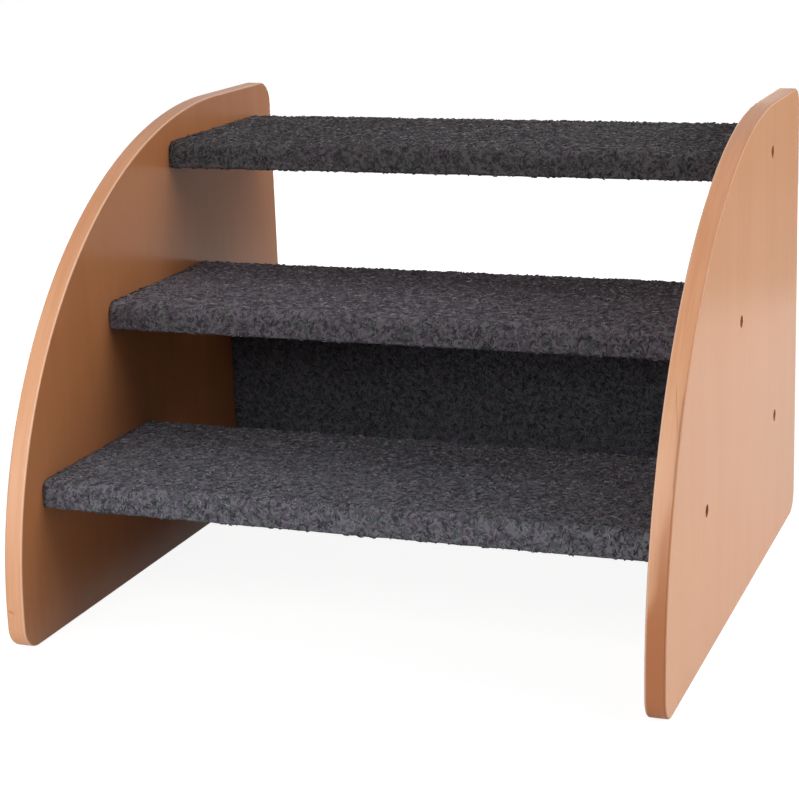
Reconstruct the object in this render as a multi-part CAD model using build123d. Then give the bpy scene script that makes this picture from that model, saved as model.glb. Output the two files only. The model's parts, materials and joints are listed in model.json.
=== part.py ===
# Pet stairs: two side panels with a quarter-round front carry three carpeted treads and one carpeted riser.
# Millimetres. X runs along the width, +Y points to the back, +Z up. The origin is on the floor, in the
# middle of the footprint. The left panel is on the -X side, the right one on the +X side.
import os

from build123d import *

# Side panels: the top is flat at the back, then a quarter ellipse runs down to a short upright at the front
panel_thickness = 16.0
panel_height = 400.0
panel_top_flat = 121.0
panel_front_run = 399.0
panel_front_upright = 26.0
panel_corner_radius = 20.0
panel_arris_radius = 1.5
inner_width = 508.0

# Boards: the three treads and the riser are cut alike
board_depth = 180.0
board_thickness = 16.0
board_edge_radius = 3.0

# Places of the boards, measured from the panels' outline to the outside of the carpet
bottom_tread_height = 132.0
bottom_tread_inset = 42.0
top_tread_drop = 29.5
top_tread_inset = 35.5
riser_back_inset = 95.0
tread_names = ("bottom_tread", "middle_tread", "top_tread")

# Carpet: one strip wraps each board and is turned in on the hidden side
carpet_thickness = 3.3
carpet_glue_gap = 0.2
carpet_end_gap = 0.3
carpet_return = 43.0

# Staples along the turned-in edges
staple_crown = 10.0
staple_leg = 8.0
staple_wire_width = 1.2
staple_wire_thickness = 0.6
staple_clearance = 0.1
staple_row_inset = 12.0
staple_end_inset = 30.0
staples_per_row = 8

# Connecting screws: one at the middle of each board end, with its head sunk into the panel's outer face
screw_length = 50.0
screw_head_radius = 5.0
screw_head_rim = 1.6
screw_head_cone = 2.2
screw_head_recess = 0.8
screw_shank_radius = 3.5
screw_shank_length = 13.0
screw_thread_radius = 3.4
screw_root_radius = 2.6
screw_thread_pitch = 3.0
screw_tip_length = 3.0
screw_tip_radius = 1.0
screw_socket_flats = 4.0
screw_socket_depth = 2.4
screw_clearance = 0.15

# Dowels: two at each board end, one on each side of the screw
dowel_radius = 4.0
dowel_length = 30.0
dowel_in_panel = 10.0
dowel_offset = 50.0
dowel_chamfer = 1.0
dowel_clearance = 0.1
dowel_end_gap = 0.5

# How far a cutting solid reaches past the face that it opens
cut_overrun = 5.0


# A panel's side view in (y, z), with y = 0 at its back edge
def draw_panel_outline():
    ellipse_centre = (-panel_top_flat, panel_front_upright)
    curve_rise = panel_height - panel_front_upright
    front_curve = EllipticalCenterArc(ellipse_centre, panel_front_run, curve_rise, 90, arc_size=90)
    top_front, upright_top = front_curve @ 0, front_curve @ 1
    floor_front, floor_back, top_back = Vector(upright_top.X, 0), Vector(0, 0), Vector(0, panel_height)
    straights = Polyline(upright_top, floor_front, floor_back, top_back, top_front)
    outline = make_face([front_curve, *straights.edges()])
    rounded = (floor_front, floor_back, top_back)
    corners = [outline.vertices().sort_by_distance(corner)[0] for corner in rounded]
    return fillet(corners, panel_corner_radius)


panel_outline = draw_panel_outline()
panel_depth = panel_top_flat + panel_front_run
back_y = panel_depth / 2
front_y = -panel_depth / 2
panel_outer_x = inner_width / 2 + panel_thickness

# Outer size of a board with its carpet on
carpet_cover = carpet_glue_gap + carpet_thickness
covered_depth = board_depth + 2 * carpet_cover
covered_thickness = board_thickness + 2 * carpet_cover


# Place of each board's middle: the treads step evenly, the riser stands on edge as high as the bottom tread
def board_places():
    steps = len(tread_names) - 1
    first_y = front_y + bottom_tread_inset + covered_depth / 2
    last_y = back_y - top_tread_inset - covered_depth / 2
    first_z = bottom_tread_height - covered_thickness / 2
    last_z = panel_height - top_tread_drop - covered_thickness / 2
    places = {}
    for step, name in enumerate(tread_names):
        share = step / steps
        places[name] = Pos(0, first_y + share * (last_y - first_y), first_z + share * (last_z - first_z))
    riser_y = back_y - riser_back_inset - covered_thickness / 2
    places["riser"] = Pos(0, riser_y, first_z) * Rot(X=90)
    return places


# A solid turned about X from (x, radius) points that run from the screw's or dowel's outer end inwards
def turned(points):
    closed = [(points[0][0], 0), *points, (points[-1][0], 0)]
    return revolve(make_face(Polyline(*closed, close=True)), Axis.X, 360)


# Stations along a screw of the right side, from the head's face inwards
def screw_stations():
    head_x = panel_outer_x - screw_head_recess
    rim_x = head_x - screw_head_rim
    cone_x = rim_x - screw_head_cone
    thread_x = head_x - screw_shank_length
    tip_x = head_x - screw_length
    return head_x, rim_x, cone_x, thread_x, tip_x


# Connecting screw of the right side, along X: hexagon socket, rim, cone, plain shank, ridged thread and tip
def make_screw():
    head_x, rim_x, cone_x, thread_x, tip_x = screw_stations()
    profile = [(head_x, screw_head_radius), (rim_x, screw_head_radius)]
    profile += [(cone_x, screw_shank_radius), (thread_x, screw_shank_radius), (thread_x, screw_root_radius)]
    thread_length = screw_length - screw_shank_length - screw_tip_length
    ridges = round(thread_length / screw_thread_pitch)
    spacing = thread_length / ridges
    for ridge in range(ridges):
        root_x = thread_x - ridge * spacing
        profile += [(root_x - spacing / 2, screw_thread_radius), (root_x - spacing, screw_root_radius)]
    profile.append((tip_x, screw_tip_radius))
    hexagon = RegularPolygon(screw_socket_flats / 2, 6, major_radius=False)
    socket = extrude(hexagon, screw_socket_depth + cut_overrun)
    return turned(profile) - Pos(head_x - screw_socket_depth, 0, 0) * Rot(Y=90) * socket


# The stepped hole for that screw through a panel and into a board's end
def make_screw_hole():
    head_x, rim_x, cone_x, thread_x, tip_x = screw_stations()
    head_radius = screw_head_radius + screw_clearance
    shank_radius = screw_shank_radius + screw_clearance
    mouth_x = panel_outer_x + cut_overrun
    bottom_x = tip_x - screw_clearance
    profile = [(mouth_x, head_radius), (rim_x - screw_clearance, head_radius)]
    profile += [(cone_x - screw_clearance, shank_radius), (bottom_x, shank_radius)]
    return turned(profile)


# Dowel of the right side, half in the panel and half in the board
def make_dowel():
    outer_x = inner_width / 2 + dowel_in_panel
    dowel = Rot(Y=90) * Cylinder(dowel_radius, dowel_length)
    dowel = chamfer(dowel.edges().filter_by(GeomType.CIRCLE), dowel_chamfer)
    return Pos(outer_x - dowel_length / 2, 0, 0) * dowel


# The blind hole for that dowel, in both pieces
def make_dowel_hole():
    outer_x = inner_width / 2 + dowel_in_panel
    hole = Rot(Y=90) * Cylinder(dowel_radius + dowel_clearance, dowel_length + 2 * dowel_end_gap)
    return Pos(outer_x - dowel_length / 2, 0, 0) * hole


# Both dowel places across a board, front or lower one first
dowel_places = {"first": Pos(0, -dowel_offset, 0), "second": Pos(0, dowel_offset, 0)}


# Every hole at the right-hand end of a board, in the board's own frame
def make_end_holes():
    holes = [make_screw_hole()]
    holes += [place * make_dowel_hole() for place in dowel_places.values()]
    return holes


# Side panel of the right side: the left one is its mirror image
def make_panel(places):
    side_view = Plane.YZ * Pos(back_y, 0, 0) * panel_outline
    panel = Pos(inner_width / 2, 0, 0) * extrude(side_view, panel_thickness)
    panel = fillet(panel.faces().filter_by(Axis.X).edges(), panel_arris_radius)
    for place in places.values():
        for hole in make_end_holes():
            panel -= place * hole
    return panel


# One staple, with its crown on the carpet of the hidden side and its legs pointing up into the board
def make_staple(clearance):
    width = staple_wire_width + 2 * clearance
    thickness = staple_wire_thickness + 2 * clearance
    crown_z = -covered_thickness / 2 - staple_clearance - staple_wire_thickness / 2
    leg_x = (staple_crown - staple_wire_thickness) / 2
    leg_length = staple_leg + clearance
    crown = Pos(0, 0, crown_z) * Box(staple_crown + 2 * clearance, width, thickness)
    leg = Pos(leg_x, 0, crown_z + leg_length / 2) * Box(thickness, width, leg_length)
    return crown + leg + mirror(leg, about=Plane.YZ)


# Both rows of staples on a board's hidden side, in the board's own frame
def staple_places():
    row_y = covered_depth / 2 - carpet_return + staple_row_inset
    spacing = (inner_width - 2 * staple_end_inset) / (staples_per_row - 1)
    return [
        Pos(-inner_width / 2 + staple_end_inset + column * spacing, side * row_y, 0)
        for side in (-1, 1)
        for column in range(staples_per_row)
    ]


# A board's cross-section in (y, z), grown by a given cover and rounded to match
def board_section(cover):
    return RectangleRounded(board_depth + 2 * cover, board_thickness + 2 * cover, board_edge_radius + cover)


# A section in (y, z) drawn out along X and centred on the middle of the stairs
def along_width(section, length):
    return Pos(-length / 2, 0, 0) * extrude(Plane.YZ * section, length)


# Board with its end holes and the staples' slots, in its own frame
def make_board():
    board = along_width(board_section(0), inner_width)
    for hole in make_end_holes():
        board -= hole
        board -= mirror(hole, about=Plane.YZ)
    return board - [place * make_staple(staple_clearance) for place in staple_places()]


# Carpet strip round a board: it leaves a bare band along the middle of the hidden side
def make_carpet():
    bare_width = covered_depth - 2 * carpet_return
    bare_band = Pos(0, -covered_thickness / 2) * Rectangle(bare_width, 2 * carpet_cover)
    section = board_section(carpet_cover) - board_section(carpet_glue_gap) - bare_band
    carpet = along_width(section, inner_width - 2 * carpet_end_gap)
    return carpet - [place * make_staple(staple_clearance) for place in staple_places()]


# The same piece on both sides: the left one mirrors the right one
def both_sides(name, right_piece):
    return {
        name.format("left"): mirror(right_piece, about=Plane.YZ),
        name.format("right"): right_piece,
    }


def make_parts():
    places = board_places()
    parts = both_sides("{}_side_panel", make_panel(places))
    board, carpet, screw, dowel = make_board(), make_carpet(), make_screw(), make_dowel()
    staples = [place * make_staple(0) for place in staple_places()]
    for name, place in places.items():
        parts[name + "_board"] = place * board
        parts[name + "_carpet"] = place * carpet
        parts[name + "_staples"] = Compound(children=[place * staple for staple in staples])
        parts.update(both_sides(name + "_{}_screw", place * screw))
        dowel_words = ("lower", "upper") if name == "riser" else ("front", "back")
        for word, offset in zip(dowel_words, dowel_places.values()):
            parts.update(both_sides(name + "_{}_" + word + "_dowel", place * offset * dowel))
    return parts


os.makedirs("parts", exist_ok=True)
for node, shape in make_parts().items():
    export_step(shape, "parts/" + node + ".step")
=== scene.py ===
import json
import math

import bpy
from mathutils import Matrix, Vector, noise

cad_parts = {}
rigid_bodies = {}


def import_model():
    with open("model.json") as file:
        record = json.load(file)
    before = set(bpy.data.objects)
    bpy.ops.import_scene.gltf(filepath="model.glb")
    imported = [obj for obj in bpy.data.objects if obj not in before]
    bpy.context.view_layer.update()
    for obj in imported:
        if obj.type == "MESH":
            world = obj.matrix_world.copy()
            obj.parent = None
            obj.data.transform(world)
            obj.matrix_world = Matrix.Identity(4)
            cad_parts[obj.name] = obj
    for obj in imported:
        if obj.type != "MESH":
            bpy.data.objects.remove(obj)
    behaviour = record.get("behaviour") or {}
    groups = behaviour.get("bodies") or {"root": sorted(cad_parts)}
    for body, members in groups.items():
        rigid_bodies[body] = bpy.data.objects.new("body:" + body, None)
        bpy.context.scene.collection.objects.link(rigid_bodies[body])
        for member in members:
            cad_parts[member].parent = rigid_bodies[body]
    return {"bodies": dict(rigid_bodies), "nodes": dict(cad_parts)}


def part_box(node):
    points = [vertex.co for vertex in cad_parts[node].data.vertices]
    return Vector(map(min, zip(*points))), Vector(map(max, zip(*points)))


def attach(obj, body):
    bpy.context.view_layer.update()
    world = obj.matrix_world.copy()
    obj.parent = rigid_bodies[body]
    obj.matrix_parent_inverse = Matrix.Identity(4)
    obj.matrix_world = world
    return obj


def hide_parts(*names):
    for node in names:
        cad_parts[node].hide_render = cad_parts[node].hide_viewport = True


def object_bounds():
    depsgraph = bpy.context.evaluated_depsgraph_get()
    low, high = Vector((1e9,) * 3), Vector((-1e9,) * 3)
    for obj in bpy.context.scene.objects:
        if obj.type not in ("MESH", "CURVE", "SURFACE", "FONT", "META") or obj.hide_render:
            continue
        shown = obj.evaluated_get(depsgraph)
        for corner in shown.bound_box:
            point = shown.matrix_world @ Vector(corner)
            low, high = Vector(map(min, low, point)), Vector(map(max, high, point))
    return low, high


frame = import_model()
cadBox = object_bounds()
mm = 0.001
boardNames = ["bottom_tread", "middle_tread", "top_tread", "riser"]


# Node tree helpers. Inputs go by name or index, each as a value or as the socket that feeds it
def feed(tree, node, inputs):
    for key, value in inputs.items():
        if isinstance(value, bpy.types.NodeSocket):
            tree.links.new(value, node.inputs[key])
        else:
            node.inputs[key].default_value = value


def addNode(tree, kind, inputs=None, **settings):
    node = tree.nodes.new(kind)
    for key, value in settings.items():
        setattr(node, key, value)
    feed(tree, node, inputs or {})
    return node


def calc(tree, operation, a, b=0.0):
    return addNode(tree, "ShaderNodeMath", {0: a, 1: b}, operation=operation).outputs[0]


def times(tree, *factors):
    product = factors[0]
    for factor in factors[1:]:
        product = calc(tree, "MULTIPLY", product, factor)
    return product


def mixColour(tree, factor, a, b, blend="MIX"):
    inputs = {0: factor, 6: a, 7: b}    # 6 and 7 are its two colours
    return addNode(tree, "ShaderNodeMix", inputs, data_type="RGBA", blend_type=blend).outputs[2]


def band(tree, value, low, high, start=0.0, end=1.0):    # smooth step of value from low to high
    inputs = {"Value": value, "From Min": low, "From Max": high, "To Min": start, "To Max": end}
    return addNode(tree, "ShaderNodeMapRange", inputs, interpolation_type="SMOOTHSTEP").outputs[0]


def between(tree, value, rise, fall, most=1.0):    # up over one range of value and down again over the next
    return times(tree, band(tree, value, *rise, 0.0, most), band(tree, value, *fall, 1.0, 0.0))


def objectCoords(tree):
    return addNode(tree, "ShaderNodeTexCoord").outputs["Object"]


def splitAxes(tree, coords):
    return addNode(tree, "ShaderNodeSeparateXYZ", {0: coords}).outputs


def scaledCoords(tree, size):    # object coordinates counted in grains, whose size is in metres along each axis
    inputs = {"Vector": objectCoords(tree), "Scale": [1 / length for length in size]}
    return addNode(tree, "ShaderNodeMapping", inputs).outputs[0]


def grainNode(tree, size, detail=2.0, roughness=0.5, distortion=0.0):
    inputs = {"Vector": scaledCoords(tree, size), "Scale": 1.0,
              "Detail": detail, "Roughness": roughness, "Distortion": distortion}
    return addNode(tree, "ShaderNodeTexNoise", inputs)


def grain(tree, *look):
    return grainNode(tree, *look).outputs[0]


def bumpFrom(tree, height, distance, strength=1.0):
    inputs = {"Height": height, "Distance": distance, "Strength": strength}
    return addNode(tree, "ShaderNodeBump", inputs).outputs[0]


def newMaterial(name):
    material = bpy.data.materials.new(name)
    material.use_nodes = True
    tree = material.node_tree
    return material, tree, tree.nodes["Principled BSDF"]


# Beech with a satin lacquer. The grain stands upright on the faces and runs along the narrow edges. The inner faces
# are darker than the outer ones: painted shade.
# In this and the other looks a noise is (grain size, detail, roughness, distortion), and a step is
# (from, to, result at from, result at to), with results of 0 and 1 where they are left out
beech = {
    "outerPale": (0.620, 0.292, 0.132, 1),
    "outerDeep": (0.590, 0.266, 0.113, 1),
    # painted shade: the inner faces are a darker copy of the outer wood
    "innerPaleWithPaintedShade": (0.400, 0.160, 0.064, 1),
    "innerDeepWithPaintedShade": (0.362, 0.140, 0.054, 1),
    "fleckColour": (0.33, 0.155, 0.07, 1),
    "edgePale": (0.73, 0.372, 0.200, 1),
    "edgeDeep": (0.69, 0.335, 0.170, 1),
    # painted highlight: a pale line along the inner arris
    "paintedArrisHighlight": (0.84, 0.55, 0.38, 1),
    "upperPaintedShade": (0.93, 0.85, 0.80, 1),    # painted shade: the narrow edges are multiplied by these two towards the top
    "topPaintedShade": (0.77, 0.70, 0.60, 1),
    "veinAndPaintedShadeTint": (0.74, 0.70, 0.68, 1),    # the veins and, as painted shade, the outer arris are multiplied by this
    "clouds": ((0.06, 0.06, 0.35), 3.0, 0.55, 0.4),
    "lines": ((0.010, 0.010, 0.22), 4.0, 0.6, 0.6),
    "flecks": ((0.00045, 0.00045, 0.0035), 1.0, 0.4),
    "streaks": ((0.0022, 0.05, 0.09), 3.0, 0.55, 0.5),
    "lineShare": 0.35,
    "figureStep": (0.30, 0.70),
    "fleckStep": (0.60, 0.74, 0.0, 0.20),
    "streakStep": (0.34, 0.66),
    "faceStep": (0.45, 0.55),    # this one and the spans go by the place across: 0 on the inner face, 1 on the outer
    "edgeSpan": ((0.03, 0.07), (0.93, 0.97)),
    "arrisHighlightSpan": ((0.003, 0.03), (0.07, 0.12), 0.6),
    "outerArrisShadeSpan": ((0.89, 0.93), (0.988, 0.9995)),
    "matteSpan": ((0.0, 0.03), (0.97, 1.0)),
    "upperStep": (0.24, 0.34),    # heights
    "topStep": (0.365, 0.402),
    "frontStep": (-0.02, 0.02, 1.0, 0.0),    # along y: heartwood, veins and dent are on the front edges only
    "roughness": 0.22,
    "edgeRoughness": 0.42,
    "fleckRelief": 0.5,
    "relief": 0.00006,
    "reliefStrength": 0.5,
}


def makeBeech(name, isRight):
    material, tree, shader = newMaterial(name)
    clouds, lines, flecks = (grain(tree, *beech[part]) for part in ("clouds", "lines", "flecks"))
    axes = splitAxes(tree, objectCoords(tree))
    innerFace, outerFace = (corner[0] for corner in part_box("right_side_panel"))
    across = calc(tree, "SUBTRACT", times(tree, axes[0], 1 if isRight else -1), innerFace)
    across = calc(tree, "DIVIDE", across, outerFace - innerFace)
    tone = calc(tree, "ADD", times(tree, clouds, 1 - beech["lineShare"]), times(tree, lines, beech["lineShare"]))
    figure = band(tree, tone, *beech["figureStep"])
    # the inner faces' darker wood is painted shade
    inner = mixColour(tree, figure, beech["innerPaleWithPaintedShade"], beech["innerDeepWithPaintedShade"])
    outer = mixColour(tree, figure, beech["outerPale"], beech["outerDeep"])
    wood = mixColour(tree, band(tree, across, *beech["faceStep"]), inner, outer)
    wood = mixColour(tree, band(tree, flecks, *beech["fleckStep"]), wood, beech["fleckColour"])
    wood = mixColour(tree, between(tree, across, *beech["edgeSpan"]), wood, edgeWood(tree, axes, across, isRight))
    # painted highlight along the inner arris
    wood = mixColour(tree, between(tree, across, *beech["arrisHighlightSpan"]), wood, beech["paintedArrisHighlight"])
    # painted shade: a darker line along the outer arris
    wood = mixColour(tree, between(tree, across, *beech["outerArrisShadeSpan"]), wood, beech["veinAndPaintedShadeTint"], "MULTIPLY")
    matte = between(tree, across, *beech["matteSpan"])
    roughness = band(tree, matte, 0.0, 0.5, beech["roughness"], beech["edgeRoughness"])
    relief = calc(tree, "ADD", times(tree, flecks, beech["fleckRelief"]), lines)
    normal = bumpFrom(tree, relief, beech["relief"], beech["reliefStrength"])
    feed(tree, shader, {"Base Color": wood, "Roughness": roughness, "Normal": normal})
    return material


def edgeWood(tree, axes, across, isRight):
    streaks = grain(tree, *beech["streaks"])
    wood = mixColour(tree, band(tree, streaks, *beech["streakStep"]), beech["edgePale"], beech["edgeDeep"])
    # painted shade: the narrow edges grow darker and redder towards the top
    wood = mixColour(tree, band(tree, axes[2], *beech["upperStep"]), wood, beech["upperPaintedShade"], "MULTIPLY")
    wood = mixColour(tree, band(tree, axes[2], *beech["topStep"]), wood, beech["topPaintedShade"], "MULTIPLY")
    front = band(tree, axes[1], *beech["frontStep"])
    if not isRight:
        return dented(tree, wood, axes, front)
    wood = heartwood(tree, wood, across, axes[2], streaks, front)
    for vein in heart["veins"]:
        wood = veined(tree, wood, across, axes[2], front, vein)
    return wood


# Red-brown heartwood low on the right panel's front edge: a flame that thins out along the outer arris, and two
# dark veins above it
heart = {
    "colour": (0.48, 0.170, 0.062, 1),
    "wander": 0.55,
    "lowFlank": (0.058, 0.108, -0.30, 0.42),    # heights, and the place across of the flame's flank at each
    "wedgeFlank": (0.119, 0.179, 0.0, 0.44),
    "softness": (-0.22, 0.24),
    "fading": (0.058, 0.179, 1.0, 0.6),
    "end": (0.21, 0.27, 1.0, 0.0),
    "veins": [    # steps as for the flanks, and half the vein's width
        {"path": (0.165, 0.235, 0.88, 0.90), "halfWidth": 0.07},
        {"path": (0.200, 0.240, 0.84, 0.50), "halfWidth": 0.045},
    ],
    "veinEnd": 0.01,
}


def heartwood(tree, wood, across, height, streaks, front):
    wander = times(tree, calc(tree, "SUBTRACT", streaks, 0.5), heart["wander"])
    flank = calc(tree, "ADD", band(tree, height, *heart["lowFlank"]), band(tree, height, *heart["wedgeFlank"]))
    flank = calc(tree, "ADD", flank, wander)
    inside = band(tree, calc(tree, "SUBTRACT", across, flank), *heart["softness"])
    fading = times(tree, band(tree, height, *heart["fading"]), band(tree, height, *heart["end"]), front)
    return mixColour(tree, times(tree, inside, fading), wood, heart["colour"])


def veined(tree, wood, across, height, front, vein):
    low, high = vein["path"][:2]
    away = calc(tree, "SUBTRACT", across, band(tree, height, *vein["path"]))
    line = band(tree, calc(tree, "ABSOLUTE", away), 0.0, vein["halfWidth"], 1.0, 0.0)
    ends = between(tree, height, (low, low + heart["veinEnd"]), (high - heart["veinEnd"], high))
    return mixColour(tree, times(tree, line, front, ends), wood, beech["veinAndPaintedShadeTint"], "MULTIPLY")


# A small dark dent low on the left panel's front edge, a slanting oval
dent = {
    "middle": (-0.2655, 0.034),    # x and z
    "halfSize": (0.0035, 0.0012),
    "darkStep": (0.3, 1.2, 0.6, 0.0),
}


def dented(tree, wood, axes, front):
    (x, z), (halfWidth, halfHeight) = dent["middle"], dent["halfSize"]
    offX = calc(tree, "DIVIDE", calc(tree, "SUBTRACT", axes[0], x), halfWidth)
    offZ = calc(tree, "ADD", calc(tree, "SUBTRACT", axes[2], z), times(tree, offX, halfHeight))
    offZ = calc(tree, "DIVIDE", offZ, halfHeight)
    away = calc(tree, "ADD", times(tree, offX, offX), times(tree, offZ, offZ))
    return mixColour(tree, times(tree, band(tree, away, *dent["darkStep"]), front), wood, heart["colour"])


# Bare board under the felt: pressed wood chips with a sanded face
coreBoard = {
    "darkChip": (0.40, 0.26, 0.14, 1),
    "paleChip": (0.60, 0.44, 0.27, 1),
    "chipSize": (0.006, 0.0035, 0.0035),
    "dustColour": (0.24, 0.14, 0.07, 1),
    "dust": ([0.0007] * 3, 3.0, 0.6),
    "dustStep": (0.45, 0.7, 0.0, 0.5),
    "roughness": 0.85,
    "relief": 0.00015,
}


def makeCoreBoard():
    material, tree, shader = newMaterial("coreBoard")
    inputs = {"Vector": scaledCoords(tree, coreBoard["chipSize"]), "Scale": 1.0, "Randomness": 1.0}
    chips = addNode(tree, "ShaderNodeTexVoronoi", inputs).outputs["Color"]
    chipTone = addNode(tree, "ShaderNodeSeparateColor", {0: chips}).outputs[0]
    dust = grain(tree, *coreBoard["dust"])
    wood = mixColour(tree, chipTone, coreBoard["darkChip"], coreBoard["paleChip"])
    wood = mixColour(tree, band(tree, dust, *coreBoard["dustStep"]), wood, coreBoard["dustColour"])
    normal = bumpFrom(tree, dust, coreBoard["relief"])
    feed(tree, shader, {"Base Color": wood, "Roughness": coreBoard["roughness"], "Normal": normal})
    return material


dowelWood = {
    "pale": (0.62, 0.42, 0.24, 1),
    "deep": (0.46, 0.28, 0.14, 1),
    "lines": ((0.02, 0.0008, 0.0008), 3.0, 0.6),
    "lineStep": (0.35, 0.7),
    "roughness": 0.7,
    "relief": 0.0002,
}


def makeDowelWood():
    material, tree, shader = newMaterial("dowelWood")
    lines = grain(tree, *dowelWood["lines"])
    wood = mixColour(tree, band(tree, lines, *dowelWood["lineStep"]), dowelWood["pale"], dowelWood["deep"])
    normal = bumpFrom(tree, lines, dowelWood["relief"])
    feed(tree, shader, {"Base Color": wood, "Roughness": dowelWood["roughness"], "Normal": normal})
    return material


# Metal fittings: bronzed screws and zinc staples, both worn in patches
metals = {
    "bronzedSteel": {"colour": (0.22, 0.085, 0.034, 1), "worn": (0.34, 0.17, 0.090, 1), "roughness": 0.52},
    "zincWire": {"colour": (0.60, 0.60, 0.58, 1), "worn": (0.42, 0.42, 0.40, 1), "roughness": 0.30},
}
metalWear = {
    "patches": ([0.0012] * 3, 3.0, 0.6),
    "wornStep": (0.5, 0.72),
    "dullStep": (0.3, 0.7),
    "dulling": (-0.06, 0.08),    # added to the roughness at the ends of dullStep
    "relief": 0.00004,
}


def makeMetal(name):
    material, tree, shader = newMaterial(name)
    metal = metals[name]
    patches = grain(tree, *metalWear["patches"])
    colour = mixColour(tree, band(tree, patches, *metalWear["wornStep"]), metal["colour"], metal["worn"])
    dulled = (metal["roughness"] + change for change in metalWear["dulling"])
    roughness = band(tree, patches, *metalWear["dullStep"], *dulled)
    normal = bumpFrom(tree, patches, metalWear["relief"])
    feed(tree, shader, {"Base Color": colour, "Roughness": roughness, "Metallic": 1.0, "Normal": normal})
    return material


# Charcoal needle felt: matted fibres that curl over dark gaps, in greys with a trace of violet and green
feltLook = {
    "dark": (0.050, 0.049, 0.054, 1),
    "mid": (0.104, 0.098, 0.108, 1),
    "light": (0.200, 0.193, 0.207, 1),
    "violet": (0.122, 0.092, 0.126, 1),
    "moss": (0.082, 0.108, 0.090, 1),
    "tufts": ([0.0046] * 3, 2.0, 0.5, 0.8),
    "gapStep": (0.32, 0.47),
    "tint": ([0.011] * 3, 2.0, 0.5),
    "violetStep": (0.5, 0.62, 0.0, 0.7),
    "mossStep": (0.52, 0.64, 0.0, 0.7),
    "curls": [    # two layers of them: size, and how far the pattern is shifted
        (0.0095, 0.0),
        (0.0076, 3.7),
    ],
    "curlNoise": {"Detail": 1.0, "Roughness": 0.5, "Distortion": 0.5},
    "curlStep": (0.015, 0.065, 1.0, 0.0),
    "curlShare": 0.65,
    "curlRelief": 0.25,
    "relief": 0.0009,
}


def curls(tree, size, shift):    # light where the noise crosses its middle, which draws thin curly lines
    place = addNode(tree, "ShaderNodeMapping", {"Vector": objectCoords(tree), "Location": [shift] * 3}).outputs[0]
    inputs = {"Vector": place, "Scale": 1 / size, **feltLook["curlNoise"]}
    wave = addNode(tree, "ShaderNodeTexNoise", inputs).outputs[0]
    return band(tree, calc(tree, "ABSOLUTE", calc(tree, "SUBTRACT", wave, 0.5)), *feltLook["curlStep"])


def withPaintedShade(tree, colour):    # painted light and shade: each piece stores a factor for its board, lower on the treads' fronts
    shade = addNode(tree, "ShaderNodeAttribute", attribute_name="shade").outputs["Vector"]
    return addNode(tree, "ShaderNodeVectorMath", {0: colour, 1: shade}, operation="MULTIPLY").outputs[0]


def makeFelt():
    material, tree, shader = newMaterial("charcoalFelt")
    tufts = grain(tree, *feltLook["tufts"])
    tints = grainNode(tree, *feltLook["tint"]).outputs["Color"]
    tints = addNode(tree, "ShaderNodeSeparateColor", {0: tints}).outputs
    base = mixColour(tree, band(tree, tints[0], *feltLook["violetStep"]), feltLook["mid"], feltLook["violet"])
    base = mixColour(tree, band(tree, tints[1], *feltLook["mossStep"]), base, feltLook["moss"])
    covered = band(tree, tufts, *feltLook["gapStep"])
    lines = calc(tree, "MAXIMUM", *(curls(tree, *layer) for layer in feltLook["curls"]))
    colour = mixColour(tree, covered, feltLook["dark"], base)
    colour = mixColour(tree, times(tree, lines, covered, feltLook["curlShare"]), colour, feltLook["light"])
    height = calc(tree, "ADD", tufts, times(tree, lines, feltLook["curlRelief"]))
    # the felt's colour carries its board's painted light and shade
    feed(tree, shader, {"Base Color": withPaintedShade(tree, colour), "Roughness": 1.0, "Specular IOR Level": 0.0,
                        "Normal": bumpFrom(tree, height, feltLook["relief"])})
    return material


# Loose strands on the felt: each has its own tone, stored with its points, and is darker over the dark gaps
strandLook = {
    "dim": (0.060, 0.057, 0.063, 1),
    "bright": (0.275, 0.268, 0.285, 1),
    "tintColour": (0.135, 0.100, 0.142, 1),
    "tint": ([0.012] * 3, 1.0, 0.5),
    "tintStep": (0.5, 0.7, 0.0, 0.4),
    "tonePower": 2.0,    # above 1 it makes bright strands rarer
    "gapStep": (0.34, 0.52, 0.35, 1.0),
    "roughness": 0.9,
    "specular": 0.1,
}


def makeStrand():
    material, tree, shader = newMaterial("feltStrand")
    tone = addNode(tree, "ShaderNodeAttribute", attribute_name="tone").outputs["Fac"]
    tone = calc(tree, "POWER", tone, strandLook["tonePower"])
    tone = times(tree, tone, band(tree, grain(tree, *feltLook["tufts"]), *strandLook["gapStep"]))
    colour = mixColour(tree, tone, strandLook["dim"], strandLook["bright"])
    tint = band(tree, grain(tree, *strandLook["tint"]), *strandLook["tintStep"])
    # the strands carry their board's painted light and shade as well
    colour = withPaintedShade(tree, mixColour(tree, tint, colour, strandLook["tintColour"]))
    feed(tree, shader, {"Base Color": colour, "Roughness": strandLook["roughness"],
                        "Specular IOR Level": strandLook["specular"]})
    return material


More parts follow.
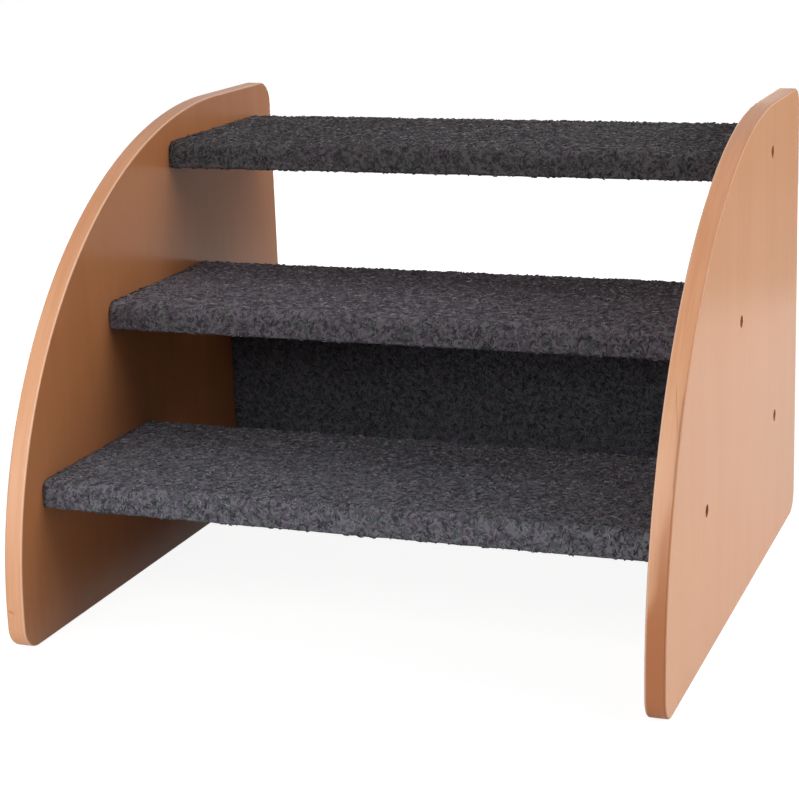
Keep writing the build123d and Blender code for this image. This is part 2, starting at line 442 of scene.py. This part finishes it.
# Felt wrap of one board. Its section is walked from one turned-in edge round the front, the shown face and the back
# to the other one, and for the riser the lower edge counts as the front
felt = {
    "thickness": 3.3 * mm,
    "cover": 3.5 * mm,    # from the board to the felt's outside
    "corners": [    # radius, side (-1 front, 1 back), face (-1 hidden, 1 shown), and where the arc starts in degrees
        (4.5 * mm, -1, -1, -90),
        (8.5 * mm, -1, 1, 180),
        (3.6 * mm, 1, 1, 90),
        (4.5 * mm, 1, -1, 0),
    ],
    "arcSteps": 6,
    "turnIn": 43 * mm,
    "endGap": 0.3 * mm,
    "step": 3.0 * mm,
    "lumps": ((0.016, 0.25 * mm), (0.008, 0.25 * mm)),    # size and height
    "nap": 0.4 * mm,    # the strands stand this much proud of the base
    "hiddenStrands": 0.3,    # their share on the hidden face
    # painted light and shade: the felt is one colour, but each board's felt is made brighter or darker, and the
    # treads' fronts darker than their tops, to stand in for how light falls on them
    "shade": {"bottom_tread": (1.05, 1.07, 1.11), "middle_tread": (1.18, 1.13, 1.17),
              "top_tread": (0.89, 0.87, 0.84), "riser": (0.53, 0.56, 0.60)},
    "paintedNoseShade": {"bottom_tread": 0.90, "middle_tread": 0.61, "top_tread": 0.62, "riser": 1.0},
}

# Two rows of staples on the hidden face, between which the felt swells
stapled = {
    "inset": 12 * mm,
    "endInset": 30 * mm,
    "count": 8,
    "swelling": 0.7 * mm,
    "dimple": (8 * mm, 4 * mm),
    "rim": 6 * mm,    # over this much the swelling grows from its share at the turned-in edge
    "rimShare": 0.35,
}


def feltName(name):
    words = name.split("_")
    return words[0] + "".join(word.capitalize() for word in words[1:]) + "Felt"


def boardFrame(name):    # the board's middle, its half sizes, and the directions across it and out of its shown face
    low, high = (Vector(corner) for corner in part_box(name + "_board"))
    middle, half = (low + high) / 2, (high - low) / 2
    if name == "riser":
        return middle, (half.x, half.z, half.y), Vector((0, 0, 1)), Vector((0, -1, 0))
    return middle, (half.x, half.y, half.z), Vector((0, 1, 0)), Vector((0, 0, 1))


def direction(degrees):
    return Vector((math.cos(math.radians(degrees)), math.sin(math.radians(degrees))))


def straight(start, end, normal):
    count = max(1, round((end - start).length / felt["step"]))
    return [(start.lerp(end, i / count), normal) for i in range(count)]


def feltSection(halfDepth, halfThickness):    # points in the middle of the felt, each with its outward normal
    inset = felt["thickness"] / 2
    edge = -halfThickness + inset
    start, last = Vector((-halfDepth + felt["turnIn"], edge)), Vector((halfDepth - felt["turnIn"], edge))
    stations = []
    for radius, side, face, angle in felt["corners"]:
        centre = Vector((side * (halfDepth - radius), face * (halfThickness - radius)))
        stations += straight(start, centre + direction(angle) * (radius - inset), direction(angle))
        for i in range(felt["arcSteps"]):
            normal = direction(angle - 90 * i / felt["arcSteps"])
            stations.append((centre + normal * (radius - inset), normal))
        start = centre + direction(angle - 90) * (radius - inset)
    down = Vector((0, -1))
    return stations + straight(start, last, down) + [(last, down)]


def swelling(x, u, v, halfWidth, halfDepth, halfThickness):    # u runs across the board and v out of its shown face
    if v > -halfThickness + felt["thickness"]:
        return 0.0
    edge = halfDepth - felt["turnIn"]
    spacing = 2 * (halfWidth - stapled["endInset"]) / (stapled["count"] - 1)
    along = (x + halfWidth - stapled["endInset"]) / spacing
    along = (along - min(max(round(along), 0), stapled["count"] - 1)) * spacing
    reachX, reachU = stapled["dimple"]
    dimple = math.exp(-((along / reachX) ** 2) - ((abs(u) - (edge + stapled["inset"])) / reachU) ** 2)
    rim = min(1.0, (abs(u) - edge) / stapled["rim"])
    return stapled["swelling"] * (1 - dimple) * max(rim, stapled["rimShare"])


def feltFaces(stations, wide):    # the faces, and how thickly loose strands cover each
    shift = len(stations) * wide    # from a point on the outside to the one on the inside
    faces, share, rim = [], [], []
    for r in range(len(stations) - 1):
        hidden = stations[r][1].y < -0.5 and stations[r + 1][1].y < -0.5
        for a in range(r * wide, r * wide + wide - 1):
            quad = (a, a + 1, a + 1 + wide, a + wide)
            faces += [quad, tuple(i + shift for i in reversed(quad))]
            share += [felt["hiddenStrands"] if hidden else 1.0, 0.0]
    for c in range(wide - 1):
        rim += [(c, c + 1), (shift - wide + c + 1, shift - wide + c)]
    for a in range(0, shift - wide, wide):
        rim += [(a + wide, a), (a + wide - 1, a + 2 * wide - 1)]
    faces += [(b, a, a + shift, b + shift) for a, b in rim]
    return faces, share + [0.0] * len(rim)


def buildFelt(name, material):
    middle, (halfWidth, halfDepth, halfThickness), across, out = boardFrame(name)
    halfDepth, halfThickness = halfDepth + felt["cover"], halfThickness + felt["cover"]
    stations = feltSection(halfDepth, halfThickness)
    halfLength = halfWidth - felt["endGap"]
    columns = round(2 * halfLength / felt["step"])
    xs = [-halfLength + 2 * halfLength * i / columns for i in range(columns + 1)]
    inset = felt["thickness"] / 2
    outer, inner, paintedShades = [], [], []
    for point, normal in stations:
        # painted shade: the treads' fronts are darker than their tops
        nose = 1 - (1 - felt["paintedNoseShade"][name]) * max(0.0, -normal.x)
        paintedShades += [tuple(part * nose for part in felt["shade"][name])] * len(xs)
        for x in xs:
            place = middle + across * point.x + out * point.y + Vector((x, 0, 0))
            outward = across * normal.x + out * normal.y
            lift = sum(noise.noise(place / size) * height for size, height in felt["lumps"])
            lift += swelling(x, point.x, point.y, halfWidth, halfDepth, halfThickness)
            lift -= felt["nap"] * min(1.0, 1 + normal.y)
            outer.append(place + outward * (inset + lift))
            inner.append(place - outward * inset)
    faces, share = feltFaces(stations, len(xs))
    mesh = bpy.data.meshes.new(feltName(name))
    mesh.from_pydata(outer + inner, [], faces)
    mesh.polygons.foreach_set("use_smooth", [True] * len(faces))
    mesh.attributes.new("strandShare", "FLOAT", "FACE").data.foreach_set("value", share)
    layer = mesh.attributes.new("shade", "FLOAT_VECTOR", "POINT")
    layer.data.foreach_set("vector", [part for shade in paintedShades * 2 for part in shade])
    mesh.materials.append(material)
    piece = bpy.data.objects.new(feltName(name), mesh)
    bpy.context.collection.objects.link(piece)
    developed = sum((b[0] - a[0]).length for a, b in zip(stations, stations[1:]))
    return piece, (2 * halfLength, developed)


# Curled strands scattered over the felt's outside: a few bent shapes, picked, turned and sized at random
strandSettings = {    # the modifier's inputs
    "Density": 76000.0,    # for each square metre
    "Length": 3.6 * mm,
    "Width": 0.95 * mm,
    "Curl": 1.3 * mm,
    "Rise": 0.65 * mm,
    "Seed": 3,
}
strandForm = {
    "shapes": 8,
    "points": 4,
    "sides": 3,
    "pushLow": (-0.3, -1.0, 0.4),    # how far a point is pushed, as shares of curl, curl and rise
    "pushHigh": (0.3, 1.0, 1.0),
    "risenMiddle": 0.5,    # the part that rises off the felt, along the strand
    "risenReach": 0.3,
    "turnLow": (-0.22, -0.22, 0.0),    # radians: a slight tilt, and any turn on the felt
    "turnHigh": (0.22, 0.22, 6.2832),
    "sizes": (0.65, 1.25),
    "panelGap": 0.4 * mm,
    "pickSeed": 13,
    "seedSteps": {"turn": 11, "size": 12, "tone": 14, "push": 20},    # added to the felt's own seed
}


def randomVector(tree, low, high, seed, step):
    inputs = {0: low, 1: high, "Seed": calc(tree, "ADD", seed, step)}
    return addNode(tree, "FunctionNodeRandomValue", inputs, data_type="FLOAT_VECTOR").outputs[0]


def randomValue(tree, low, high, seed, step):
    inputs = {2: low, 3: high, "Seed": calc(tree, "ADD", seed, step)}
    return addNode(tree, "FunctionNodeRandomValue", inputs, data_type="FLOAT").outputs[1]


# One strand: a line of a few points, arched off the felt and pushed aside, swept with a three-sided section
def strandShape(tree, given, number):
    ends = {}
    for name, share in (("Start", -0.5), ("End", 0.5)):
        ends[name] = addNode(tree, "ShaderNodeCombineXYZ", {0: times(tree, given["Length"], share)}).outputs[0]
    line = addNode(tree, "GeometryNodeCurvePrimitiveLine", ends).outputs[0]
    line = addNode(tree, "GeometryNodeResampleCurve", {"Curve": line, "Count": strandForm["points"]}).outputs[0]
    along = addNode(tree, "GeometryNodeSplineParameter").outputs["Factor"]
    risen = {0: along, 1: strandForm["risenMiddle"], 2: strandForm["risenReach"]}
    risen = addNode(tree, "ShaderNodeMath", risen, operation="COMPARE").outputs[0]
    reach = {0: given["Curl"], 1: given["Curl"], 2: times(tree, risen, given["Rise"])}
    reach = addNode(tree, "ShaderNodeCombineXYZ", reach).outputs[0]
    step = strandForm["seedSteps"]["push"] + number
    push = randomVector(tree, strandForm["pushLow"], strandForm["pushHigh"], given["Seed"], step)
    push = addNode(tree, "ShaderNodeVectorMath", {0: push, 1: reach}, operation="MULTIPLY").outputs[0]
    line = addNode(tree, "GeometryNodeSetPosition", {"Geometry": line, "Offset": push}).outputs[0]
    section = {"Resolution": strandForm["sides"], "Radius": times(tree, given["Width"], 0.5)}
    section = addNode(tree, "GeometryNodeCurvePrimitiveCircle", section).outputs[0]
    inputs = {"Curve": line, "Profile Curve": section, "Fill Caps": True}
    return addNode(tree, "GeometryNodeCurveToMesh", inputs).outputs[0]


def makeStrandTree():
    tree = bpy.data.node_groups.new("feltStrands", "GeometryNodeTree")
    sockets = {"Geometry": "Geometry", "Density": "Float", "Length": "Float", "Width": "Float", "Curl": "Float",
               "Rise": "Float", "Seed": "Int", "Material": "Material"}
    for name, kind in sockets.items():
        tree.interface.new_socket(name, in_out="INPUT", socket_type="NodeSocket" + kind)
    tree.interface.new_socket("Geometry", in_out="OUTPUT", socket_type="NodeSocketGeometry")
    given = addNode(tree, "NodeGroupInput").outputs
    seed, steps = given["Seed"], strandForm["seedSteps"]
    share = addNode(tree, "GeometryNodeInputNamedAttribute", {"Name": "strandShare"}, data_type="FLOAT").outputs[0]
    inputs = {"Mesh": given["Geometry"], "Density": times(tree, given["Density"], share), "Seed": seed}
    points = addNode(tree, "GeometryNodeDistributePointsOnFaces", inputs, distribute_method="RANDOM").outputs
    turn = randomVector(tree, strandForm["turnLow"], strandForm["turnHigh"], seed, steps["turn"])
    turn = addNode(tree, "FunctionNodeEulerToRotation", {0: turn}).outputs[0]
    inputs = {0: points["Rotation"], 1: turn}
    turn = addNode(tree, "FunctionNodeRotateRotation", inputs, rotation_space="LOCAL").outputs[0]
    size = randomValue(tree, *strandForm["sizes"], seed, steps["size"])
    inputs = {4: 0, 5: strandForm["shapes"] - 1, "Seed": strandForm["pickSeed"]}
    picked = addNode(tree, "FunctionNodeRandomValue", inputs, data_type="INT").outputs[2]
    shapes = addNode(tree, "GeometryNodeGeometryToInstance")
    for number in range(strandForm["shapes"]):
        tree.links.new(strandShape(tree, given, number), shapes.inputs[0])
    inputs = {"Points": points["Points"], "Instance": shapes.outputs[0], "Pick Instance": True,
              "Instance Index": picked, "Rotation": turn, "Scale": size}
    placed = addNode(tree, "GeometryNodeInstanceOnPoints", inputs).outputs[0]
    inputs = {"Geometry": placed, "Name": "tone", "Value": randomValue(tree, 0.0, 1.0, seed, steps["tone"])}
    placed = addNode(tree, "GeometryNodeStoreNamedAttribute", inputs, data_type="FLOAT", domain="INSTANCE").outputs[0]
    mesh = addNode(tree, "GeometryNodeRealizeInstances", {0: placed}).outputs[0]
    mesh = addNode(tree, "GeometryNodeSetMaterial", {"Geometry": mesh, "Material": given["Material"]}).outputs[0]
    addNode(tree, "NodeGroupOutput", {0: mesh})
    return tree


def growStrands(wrap, tree, material, seed):
    piece = bpy.data.objects.new(wrap.name + "Strands", wrap.data.copy())
    bpy.context.collection.objects.link(piece)
    modifier = piece.modifiers.new("strands", "NODES")
    modifier.node_group = tree
    sockets = {item.name: item.identifier for item in tree.interface.items_tree if item.in_out == "INPUT"}
    for name, value in {**strandSettings, "Seed": seed, "Material": material}.items():
        modifier[sockets[name]] = value
    mesh = bpy.data.meshes.new_from_object(piece.evaluated_get(bpy.context.evaluated_depsgraph_get()))
    piece.modifiers.clear()
    piece.data = mesh
    mesh.name = piece.name
    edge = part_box("left_side_panel")[1][0] + strandForm["panelGap"]    # the panels hold the strands in
    for vertex in mesh.vertices:
        vertex.co.x = min(max(vertex.co.x, edge), -edge)
    return piece


# The floor and the world look white to the camera. In reflections the world is white too, and the floor is dimmer,
# with a painted shadow under the treads.
# The light that they give the stairs comes from the floor's colour and the world's ambient strength alone
floorSettings = {
    "size": 12.0,
    "drop": 0.2 * mm,
    "colour": 0.80,
    "shadowShare": 0.25,
    "glow": 0.90,
    "glowStep": (0.7, 1.6),    # the distance from the middle over which the glow grows to white
    "mirroredShare": 0.35,    # the same floor as reflections show it, with a stronger shadow
    "mirroredGlow": 0.38,
    "sheetEdge": (0.766, 0.643, 0.0),    # the ground ends across this direction, and only reflections show it
    "sheetEnd": (1.03, 1.19),
    "beyond": 0.52,
    "underAside": (0.19, 0.28),    # where the painted shadow under the treads ends in the floor's glow as reflections show it, to the sides and to the back
    "underBack": (0.25, 0.50),
}


def grey(value):
    return value, value, value, 1


def greySocket(tree, value):
    return addNode(tree, "ShaderNodeCombineColor", {0: value, 1: value, 2: value}).outputs[0]


def directRays(tree, rays):
    seen = calc(tree, "MAXIMUM", rays["Is Camera Ray"], rays["Is Glossy Ray"])
    return calc(tree, "MAXIMUM", seen, rays["Is Transmission Ray"])


def makeFloor():
    material = bpy.data.materials.new("studioFloor")
    material.use_nodes = True
    tree = material.node_tree
    tree.nodes.clear()
    rays = addNode(tree, "ShaderNodeLightPath").outputs
    coords = objectCoords(tree)
    axes = splitAxes(tree, coords)
    distance = addNode(tree, "ShaderNodeVectorMath", {0: coords}, operation="LENGTH").outputs["Value"]
    inputs = {0: coords, 1: floorSettings["sheetEdge"]}
    reach = addNode(tree, "ShaderNodeVectorMath", inputs, operation="DOT_PRODUCT").outputs["Value"]
    sheet = band(tree, reach, *floorSettings["sheetEnd"], 1.0, floorSettings["beyond"])
    shares = grey(floorSettings["mirroredShare"]), grey(floorSettings["shadowShare"])
    share = mixColour(tree, rays["Is Camera Ray"], *shares)
    share = mixColour(tree, calc(tree, "MAXIMUM", sheet, rays["Is Camera Ray"]), grey(0), share)
    catcher = addNode(tree, "ShaderNodeBsdfDiffuse", {"Color": share}).outputs[0]
    glow = band(tree, distance, *floorSettings["glowStep"], floorSettings["glow"], 1.0)
    # painted shadow: in reflections the floor's glow is dark under the treads
    aside = band(tree, calc(tree, "ABSOLUTE", axes[0]), *floorSettings["underAside"])
    clear = calc(tree, "MAXIMUM", aside, band(tree, axes[1], *floorSettings["underBack"]))
    mirroredGlow = times(tree, sheet, floorSettings["mirroredGlow"], clear)
    glow = mixColour(tree, rays["Is Camera Ray"], greySocket(tree, mirroredGlow), greySocket(tree, glow))
    glow = addNode(tree, "ShaderNodeEmission", {"Color": glow, "Strength": 1.0}).outputs[0]
    seen = addNode(tree, "ShaderNodeAddShader", {0: catcher, 1: glow}).outputs[0]
    plain = addNode(tree, "ShaderNodeBsdfDiffuse", {"Color": grey(floorSettings["colour"])}).outputs[0]
    shown = addNode(tree, "ShaderNodeMixShader", {0: directRays(tree, rays), 1: plain, 2: seen}).outputs[0]
    addNode(tree, "ShaderNodeOutputMaterial", {"Surface": shown})
    half, z = floorSettings["size"] / 2, cadBox[0].z - floorSettings["drop"]
    mesh = bpy.data.meshes.new("studioFloor")
    mesh.from_pydata([(-half, -half, z), (half, -half, z), (half, half, z), (-half, half, z)], [], [(0, 1, 2, 3)])
    mesh.materials.append(material)
    floor = bpy.data.objects.new("studioFloor", mesh)
    bpy.context.collection.objects.link(floor)


worldSettings = {"ambient": 0.08, "seen": 1.0}


def makeWorld():
    world = bpy.data.worlds.new("studio")
    world.use_nodes = True
    tree = world.node_tree
    tree.nodes.clear()
    rays = addNode(tree, "ShaderNodeLightPath").outputs
    light, white = (addNode(tree, "ShaderNodeBackground", {0: grey(1), 1: worldSettings[part]}).outputs[0]
                    for part in ("ambient", "seen"))
    shown = addNode(tree, "ShaderNodeMixShader", {0: directRays(tree, rays), 1: light, 2: white}).outputs[0]
    addNode(tree, "ShaderNodeOutputWorld", {0: shown})
    bpy.context.scene.world = world


# White lamps, all aimed at the middle of the stairs: place, size and watts
lamps = {
    "right": ((2.2, -0.2, 1.2), 1.0, 24.0),
    "rightBack": ((2.0, 0.6, 1.2), 1.0, 11.8),
    "rightBackLow": ((2.2, 1.0, 0.5), 1.2, 7.4),
    "top": ((0.9, 0.3, 2.2), 1.0, 9.0),
    "front": ((-0.2, -1.2, 0.8), 0.6, 7.4),
    "frontLeft": ((-0.8, -1.1, 0.35), 0.5, 3.0),
    "left": ((-2.2, 0.3, 0.5), 0.8, 28.0),
    "back": ((-0.35, 2.1, 0.25), 0.5, 18.0),
}
lampTarget = Vector((0, 0, 0.2))


def makeLamps():
    for name, (place, size, watts) in lamps.items():
        data = bpy.data.lights.new(name, "AREA")
        data.shape, data.size, data.energy = "SQUARE", size, watts
        lamp = bpy.data.objects.new(name, data)
        lamp.location = place
        lamp.rotation_euler = (lampTarget - Vector(place)).to_track_quat("-Z", "Y").to_euler()
        lamp.visible_camera = False
        bpy.context.collection.objects.link(lamp)


# Camera, found by fitting the stairs' edges to the photograph: angles in radians, pixels of the 799-pixel frame
camera = {
    "place": (0.58558, -1.57375, 0.61276),
    "yaw": 0.34724,
    "pitch": -0.2511,
    "roll": -0.02955,
    "focalPixels": 2025.1,
    "centrePixel": (445, 372),
    "framePixels": 799,
    "sensor": 36.0,
    "clipEnd": 50,
}


def makeCamera():
    yaw, pitch, roll = camera["yaw"], camera["pitch"], camera["roll"]
    forward = Vector((-math.sin(yaw) * math.cos(pitch), math.cos(yaw) * math.cos(pitch), math.sin(pitch)))
    right = Vector((math.cos(yaw), math.sin(yaw), 0))
    up = right.cross(forward)
    rightRolled = right * math.cos(roll) + up * math.sin(roll)
    upRolled = up * math.cos(roll) - right * math.sin(roll)
    data = bpy.data.cameras.new("photoCamera")
    data.sensor_width = camera["sensor"]
    data.lens = camera["sensor"] * camera["focalPixels"] / camera["framePixels"]
    middle = (camera["framePixels"] - 1) / 2
    data.shift_x = (middle - camera["centrePixel"][0]) / camera["framePixels"]
    data.shift_y = (camera["centrePixel"][1] - middle) / camera["framePixels"]
    data.clip_end = camera["clipEnd"]
    photoCamera = bpy.data.objects.new("photoCamera", data)
    turn = Matrix((rightRolled, upRolled, -forward)).transposed()
    photoCamera.matrix_world = Matrix.Translation(camera["place"]) @ turn.to_4x4()
    bpy.context.collection.objects.link(photoCamera)
    bpy.context.scene.camera = photoCamera


def dress(node, material):
    node.data.materials.clear()
    node.data.materials.append(material)


def dressNodes():
    looks = {    # by the end of the node's name
        "_board": makeCoreBoard(),
        "_screw": makeMetal("bronzedSteel"),
        "_staples": makeMetal("zincWire"),
        "_dowel": makeDowelWood(),
        "left_side_panel": makeBeech("leftBeech", False),
        "right_side_panel": makeBeech("rightBeech", True),
    }
    for name, node in frame["nodes"].items():
        for ending, material in looks.items():
            if name.endswith(ending):
                dress(node, material)


makeCamera()
makeWorld()
makeLamps()
makeFloor()
print("stage set")

dressNodes()
print("panels, boards and fittings dressed")

feltMaterial, strandMaterial, strandTree = makeFelt(), makeStrand(), makeStrandTree()
rootBody = next(iter(frame["bodies"]))
for boardNumber, boardName in enumerate(boardNames):
    wrap, flatSize = buildFelt(boardName, feltMaterial)
    strands = growStrands(wrap, strandTree, strandMaterial, strandSettings["Seed"] + boardNumber)
    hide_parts(boardName + "_carpet")
    for piece in (wrap, strands):
        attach(piece, rootBody)
    print(boardName, "felt wrapped,", len(strands.data.loop_triangles), "strand triangles")

bpy.context.scene.view_settings.view_transform = "Standard"
